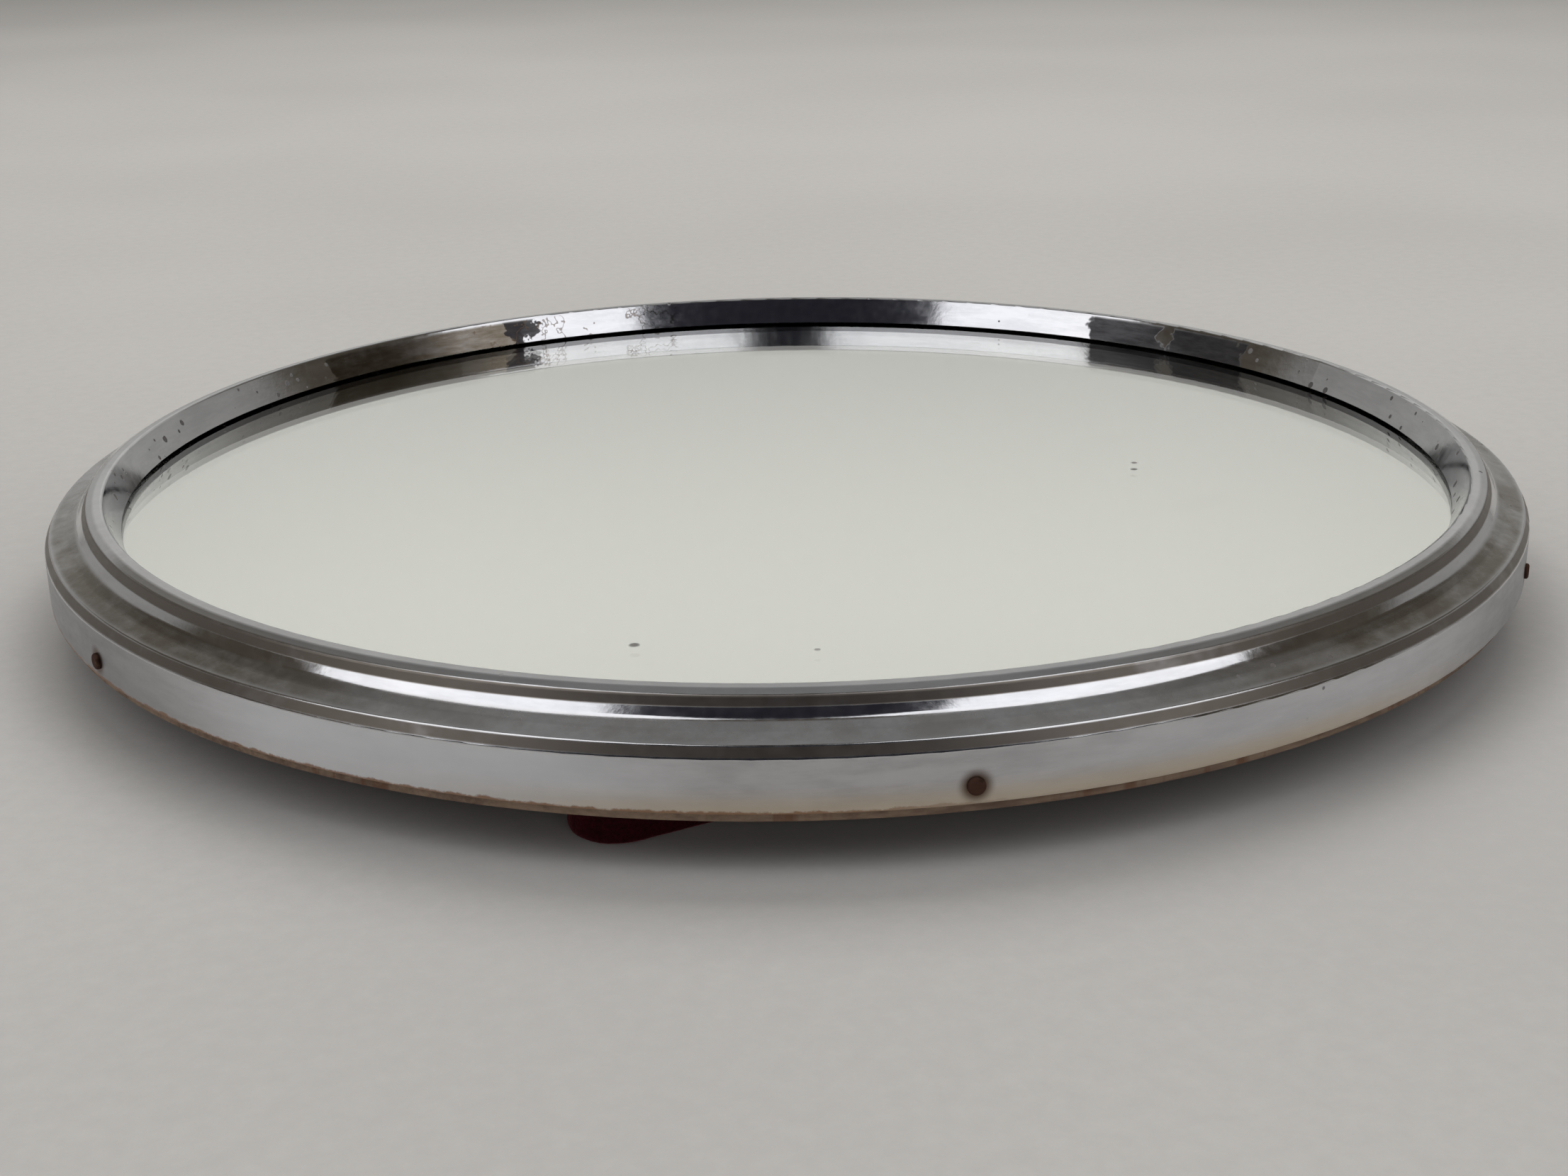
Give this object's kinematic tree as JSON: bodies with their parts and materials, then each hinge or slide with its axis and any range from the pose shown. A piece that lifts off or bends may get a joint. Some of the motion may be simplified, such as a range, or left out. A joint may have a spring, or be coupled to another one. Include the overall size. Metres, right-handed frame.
{
  "type": "countertop mirror",
  "caption": "Round glass mirror in a stepped chrome ring on a wooden back board, lying on its folded velvet-covered easel strut.",
  "frame": {"origin": "on the table plane (lower face of the folded strut), under the axis of the disc", "axes": "+Z out of the mirror face; -Y toward the foot of the strut, +Y toward its hinge; +X along the hinge"},
  "size_m": [0.3048, 0.3048, 0.0274],
  "materials": {
    "frame_chrome": "worn polished, pitted",
    "glass": "clear",
    "silvering": "silvered",
    "backing_paint": "dull paint",
    "felt": "felt",
    "cardboard": "grey-brown board",
    "board_wood": "raw plywood, stained",
    "velvet": "cut pile",
    "lining": "plain weave",
    "nail_steel": "rusted",
    "hinge_steel": "dull plated",
    "screw_steel": "dull plated",
    "strut_wood": "raw"
  },
  "bodies": {
    "mirror": {"chrome_frame": "frame_chrome", "mirror_glass": "glass", "silver_layer": "silvering", "backing_paint": "backing_paint", "felt_pad": "felt", "card_pad": "cardboard", "back_board": "board_wood", "back_velvet": "velvet", "frame_nails": "nail_steel", "hinge_fixed_leaf": "hinge_steel", "hinge_pin": "hinge_steel", "hinge_board_screws": "screw_steel"},
    "strut": {"strut_core": "strut_wood", "strut_velvet": "velvet", "strut_lining": "lining", "hinge_moving_leaf": "hinge_steel", "hinge_strut_screws": "screw_steel"}
  },
  "joints": [
    {"name": "strut_fold", "type": "hinge", "parent": "mirror", "child": "strut", "pos_m": [0, 0.062, 0.0063], "axis": [1, 0, 0], "range_deg": [0, 30]}
  ]
}
